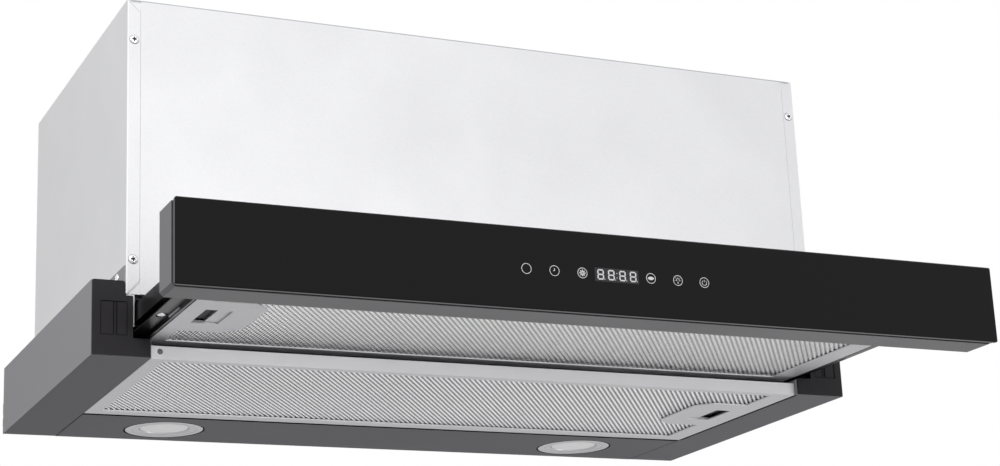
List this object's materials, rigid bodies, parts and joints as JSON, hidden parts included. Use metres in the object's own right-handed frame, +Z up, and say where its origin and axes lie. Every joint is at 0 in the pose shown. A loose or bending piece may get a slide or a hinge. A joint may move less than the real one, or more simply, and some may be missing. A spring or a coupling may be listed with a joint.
{
  "type": "pull-out range hood",
  "caption": "Pull-out range hood: sliding filter drawer with a touch-control glass front on ball-bearing slides, latching metal filters, lamps, a scroll fan and a top duct collar.",
  "frame": {"origin": "middle of the wall face, level with the underside of the body", "axes": "+X to the right seen from the front, +Y to the wall, +Z up; the drawer pulls out along -Y"},
  "size_m": [0.598, 0.4791, 0.2986],
  "materials": {
    "galvanised_sheet": "satin, fine-grained galvanised sheet",
    "body_paint": "satin graphite-grey paint",
    "black_plastic": "fine matt",
    "black_steel": "black e-coat, satin",
    "trim_aluminium": "anodised, dark grey satin",
    "black_glass": "opaque black printed back, polished edges",
    "filter_aluminium": "bright satin",
    "mesh_aluminium": "pressed diagonal mesh",
    "bezel_steel": "satin",
    "frosted_lens": "frosted",
    "lamp_housing": "cast, satin",
    "fan_plastic": "matt black",
    "zinc_steel": "bright zinc plate",
    "motor_steel": "drawn steel",
    "shaft_steel": "ground steel",
    "circuit_board": "green solder mask",
    "white_plastic": "matt white",
    "damper_plastic": "matt black"
  },
  "bodies": {
    "housing": {"casing_front": "galvanised_sheet", "casing_back": "galvanised_sheet", "casing_top": "galvanised_sheet", "casing_side_left": "galvanised_sheet", "casing_side_right": "galvanised_sheet", "body_cheek_left": "body_paint", "body_cheek_right": "body_paint", "end_cap_left": "black_plastic", "end_cap_right": "black_plastic", "rail_plate_left": "galvanised_sheet", "rail_plate_right": "galvanised_sheet", "lamp_panel": "body_paint", "wall_clips": "black_plastic", "slide_outer_left": "black_steel", "slide_outer_right": "black_steel", "lamp_bezel_left": "bezel_steel", "lamp_bezel_right": "bezel_steel", "lamp_lens_left": "frosted_lens", "lamp_lens_right": "frosted_lens", "lamp_module_left": "lamp_housing", "lamp_module_right": "lamp_housing", "blower_scroll": "fan_plastic", "blower_plate_left": "fan_plastic", "blower_plate_right": "fan_plastic", "blower_motor": "motor_steel", "motor_spider": "zinc_steel", "duct_collar": "fan_plastic", "control_box": "white_plastic", "capacitor": "white_plastic", "cable_gland": "black_plastic", "casing_screws": "zinc_steel"},
    "drawer": {"front_glass": "black_glass", "glass_carrier": "black_plastic", "control_board": "circuit_board", "front_trim": "trim_aluminium", "trim_end_left": "trim_aluminium", "trim_end_right": "trim_aluminium", "drawer_frame": "black_steel", "slide_bracket_left": "black_steel", "slide_bracket_right": "black_steel", "slide_inner_left": "black_steel", "slide_inner_right": "black_steel", "drawer_filter_frame": "filter_aluminium", "drawer_filter_mesh": "mesh_aluminium"},
    "fixed_filter": {"fixed_filter_frame": "filter_aluminium", "fixed_filter_mesh": "mesh_aluminium"},
    "fixed_filter_latch": {"fixed_filter_latch": "filter_aluminium"},
    "drawer_filter_latch": {"drawer_filter_latch": "filter_aluminium"},
    "impeller": {"impeller": "fan_plastic", "impeller_rings": "fan_plastic", "impeller_blades": "fan_plastic", "motor_shaft": "shaft_steel"},
    "slide_mid_left": {"slide_mid_left": "black_steel"},
    "ball_cage_outer_left": {"ball_cage_outer_left": "zinc_steel"},
    "ball_cage_inner_left": {"ball_cage_inner_left": "zinc_steel"},
    "damper_flap_left": {"damper_flap_left": "damper_plastic"},
    "slide_mid_right": {"slide_mid_right": "black_steel"},
    "ball_cage_outer_right": {"ball_cage_outer_right": "zinc_steel"},
    "ball_cage_inner_right": {"ball_cage_inner_right": "zinc_steel"},
    "damper_flap_right": {"damper_flap_right": "damper_plastic"}
  },
  "joints": [
    {"name": "drawer_slide", "type": "slide", "parent": "housing", "child": "drawer", "axis": [0, -1, 0], "range_m": [-0.1646, 0]},
    {"name": "slide_mid_left_slide", "type": "slide", "parent": "housing", "child": "slide_mid_left", "axis": [0, -1, 0], "range_m": [-0.08231, 0]},
    {"name": "ball_cage_outer_left_slide", "type": "slide", "parent": "housing", "child": "ball_cage_outer_left", "axis": [0, -1, 0], "range_m": [-0.04116, 0]},
    {"name": "ball_cage_inner_left_slide", "type": "slide", "parent": "housing", "child": "ball_cage_inner_left", "axis": [0, -1, 0], "range_m": [-0.12346, 0]},
    {"name": "slide_mid_right_slide", "type": "slide", "parent": "housing", "child": "slide_mid_right", "axis": [0, -1, 0], "range_m": [-0.08231, 0]},
    {"name": "ball_cage_outer_right_slide", "type": "slide", "parent": "housing", "child": "ball_cage_outer_right", "axis": [0, -1, 0], "range_m": [-0.04116, 0]},
    {"name": "ball_cage_inner_right_slide", "type": "slide", "parent": "housing", "child": "ball_cage_inner_right", "axis": [0, -1, 0], "range_m": [-0.12346, 0]},
    {"name": "fixed_filter_hinge", "type": "hinge", "parent": "housing", "child": "fixed_filter", "pos_m": [-0.257, -0.184, 0], "axis": [0, 1, 0], "range_deg": [0, 90]},
    {"name": "fixed_filter_latch_slide", "type": "slide", "parent": "fixed_filter", "child": "fixed_filter_latch", "axis": [-1, 0, 0], "range_m": [0, 0.005], "stiffness_N_per_m": 250, "springref_m": -0.002},
    {"name": "drawer_filter_latch_slide", "type": "slide", "parent": "drawer", "child": "drawer_filter_latch", "axis": [1, 0, 0], "range_m": [0, 0.005], "stiffness_N_per_m": 250, "springref_m": -0.002},
    {"name": "impeller_spin", "type": "hinge", "parent": "housing", "child": "impeller", "pos_m": [0, -0.154, 0.148], "axis": [1, 0, 0], "continuous": true},
    {"name": "damper_flap_left_hinge", "type": "hinge", "parent": "housing", "child": "damper_flap_left", "pos_m": [-0.0045, -0.129, 0.2654], "axis": [0, 1, 0], "range_deg": [0, 75]},
    {"name": "damper_flap_right_hinge", "type": "hinge", "parent": "housing", "child": "damper_flap_right", "pos_m": [0.0045, -0.129, 0.2654], "axis": [0, -1, 0], "range_deg": [0, 75]}
  ],
  "couplings": [
    {"joint": "slide_mid_left_slide", "follows": "drawer_slide", "ratio": 0.5},
    {"joint": "ball_cage_outer_left_slide", "follows": "drawer_slide", "ratio": 0.25},
    {"joint": "ball_cage_inner_left_slide", "follows": "drawer_slide", "ratio": 0.75},
    {"joint": "slide_mid_right_slide", "follows": "drawer_slide", "ratio": 0.5},
    {"joint": "ball_cage_outer_right_slide", "follows": "drawer_slide", "ratio": 0.25},
    {"joint": "ball_cage_inner_right_slide", "follows": "drawer_slide", "ratio": 0.75}
  ]
}
